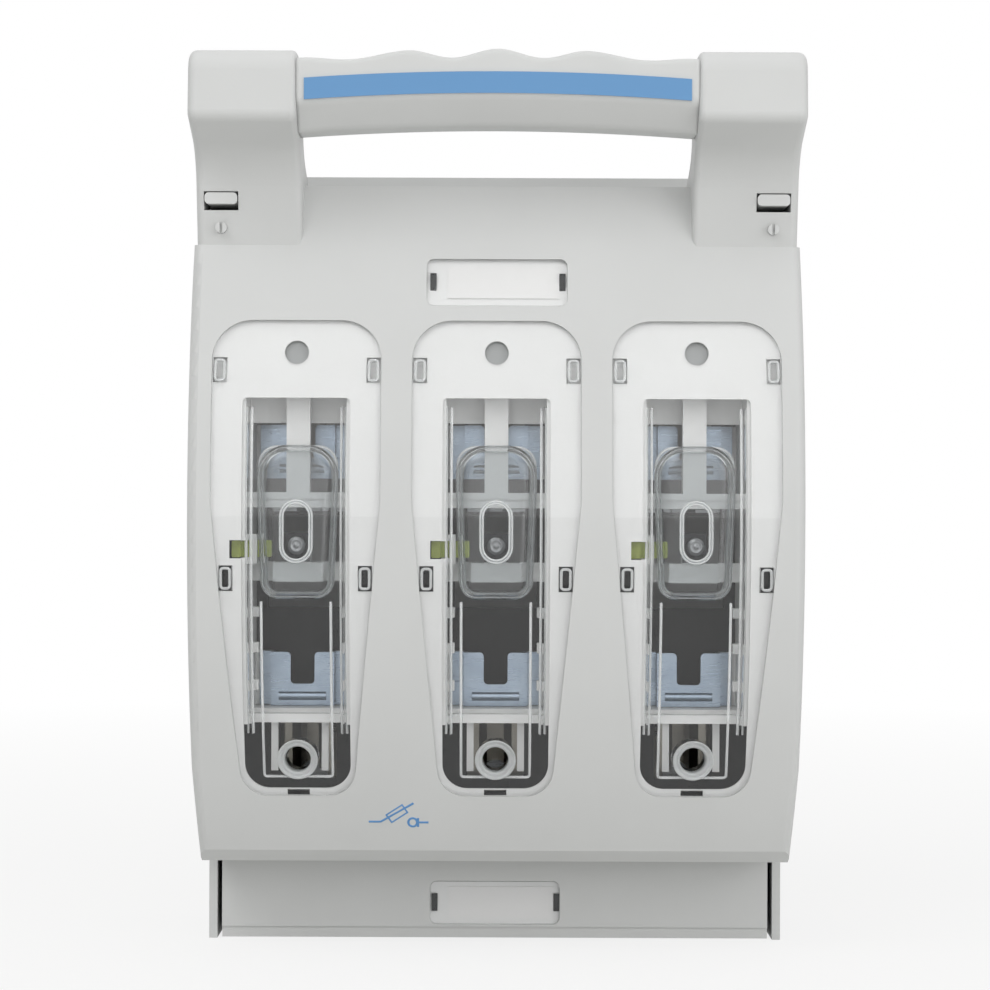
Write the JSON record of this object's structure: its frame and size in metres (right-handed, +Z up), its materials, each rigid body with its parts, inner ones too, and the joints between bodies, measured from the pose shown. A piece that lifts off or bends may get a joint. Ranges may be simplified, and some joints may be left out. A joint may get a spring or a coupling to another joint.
{
  "type": "fuse switch disconnector",
  "caption": "Base-mounted switch disconnector with a hinged, barrel-fronted lid that carries the fuses, a bow handle and clear windows over the poles.",
  "frame": {"origin": "centre of the four fixing holes, in the plane of the base's back", "axes": "+X across the poles, +Z up, +Y into the mounting plate, so the front looks along -Y"},
  "size_m": [0.184, 0.1153, 0.2725],
  "materials": {
    "housing_grey": "fine spark-eroded texture, light grey glass-filled polyester",
    "pale_plastic": "smooth pale grey polyamide",
    "dark_plastic": "matt dark grey thermoset",
    "shutter_grey": "matt mid grey polyamide",
    "clear_plastic": "clear polished polycarbonate",
    "blue_strip": "plain blue film",
    "label_card": "plain white card",
    "yellow_green": "smooth yellow-green polyamide",
    "zinc_sheet": "blue zinc-plated sheet steel",
    "zinc_steel": "zinc-plated steel",
    "spring_steel": "bright spring steel",
    "silver_plated_copper": "silver-plated copper"
  },
  "bodies": {
    "base": {"base_housing": "housing_grey", "contact_shroud": "dark_plastic", "upper_contact_springs": "spring_steel", "lower_contact_springs": "spring_steel", "terminal_bolts": "zinc_steel", "terminal_washers": "zinc_steel", "terminal_nuts": "zinc_steel", "contact_screws": "zinc_steel", "upper_terminal_cover": "housing_grey", "lower_terminal_cover": "housing_grey", "lower_label_card": "label_card", "lower_label_window": "clear_plastic", "hinge_pin_left": "spring_steel", "hinge_pin_right": "spring_steel", "upper_contact_1": "silver_plated_copper", "lower_contact_1": "silver_plated_copper", "arc_chute_holders_1": "dark_plastic", "arc_plates_1": "zinc_steel", "upper_contact_2": "silver_plated_copper", "lower_contact_2": "silver_plated_copper", "arc_chute_holders_2": "dark_plastic", "arc_plates_2": "zinc_steel", "upper_contact_3": "silver_plated_copper", "lower_contact_3": "silver_plated_copper", "arc_chute_holders_3": "dark_plastic", "arc_plates_3": "zinc_steel"},
    "lid": {"lid_shell": "housing_grey", "handle_grip": "housing_grey", "handle_strip": "blue_strip", "lid_label_card": "label_card", "lid_label_window": "clear_plastic", "probe_shutters": "shutter_grey", "seal_posts": "housing_grey", "grip_studs": "zinc_steel", "window_cover_1": "clear_plastic", "fuse_carrier_1": "pale_plastic", "upper_lug_clip_1": "zinc_sheet", "lower_lug_clip_1": "zinc_sheet", "fuse_grip_1": "clear_plastic", "window_cover_2": "clear_plastic", "fuse_carrier_2": "pale_plastic", "upper_lug_clip_2": "zinc_sheet", "lower_lug_clip_2": "zinc_sheet", "fuse_grip_2": "clear_plastic", "window_cover_3": "clear_plastic", "fuse_carrier_3": "pale_plastic", "upper_lug_clip_3": "zinc_sheet", "lower_lug_clip_3": "zinc_sheet", "fuse_grip_3": "clear_plastic"},
    "slider_1": {"release_slider_1": "yellow_green"},
    "slider_2": {"release_slider_2": "yellow_green"},
    "slider_3": {"release_slider_3": "yellow_green"},
    "lock_left": {"lock_tongue_left": "pale_plastic"},
    "lock_right": {"lock_tongue_right": "pale_plastic"}
  },
  "joints": [
    {"name": "lid_hinge", "type": "hinge", "parent": "base", "child": "lid", "pos_m": [0, -0.058, -0.084], "axis": [1, 0, 0], "range_deg": [0, 75]},
    {"name": "fuse_release_1", "type": "slide", "parent": "lid", "child": "slider_1", "axis": [1, 0, 0], "range_m": [0, 0.0025], "stiffness_N_per_m": 300},
    {"name": "fuse_release_2", "type": "slide", "parent": "lid", "child": "slider_2", "axis": [1, 0, 0], "range_m": [0, 0.0025], "stiffness_N_per_m": 300},
    {"name": "fuse_release_3", "type": "slide", "parent": "lid", "child": "slider_3", "axis": [1, 0, 0], "range_m": [0, 0.0025], "stiffness_N_per_m": 300},
    {"name": "lock_pull_left", "type": "slide", "parent": "lid", "child": "lock_left", "axis": [0, -1, 0], "range_m": [0, 0.008]},
    {"name": "lock_pull_right", "type": "slide", "parent": "lid", "child": "lock_right", "axis": [0, -1, 0], "range_m": [0, 0.008]}
  ]
}
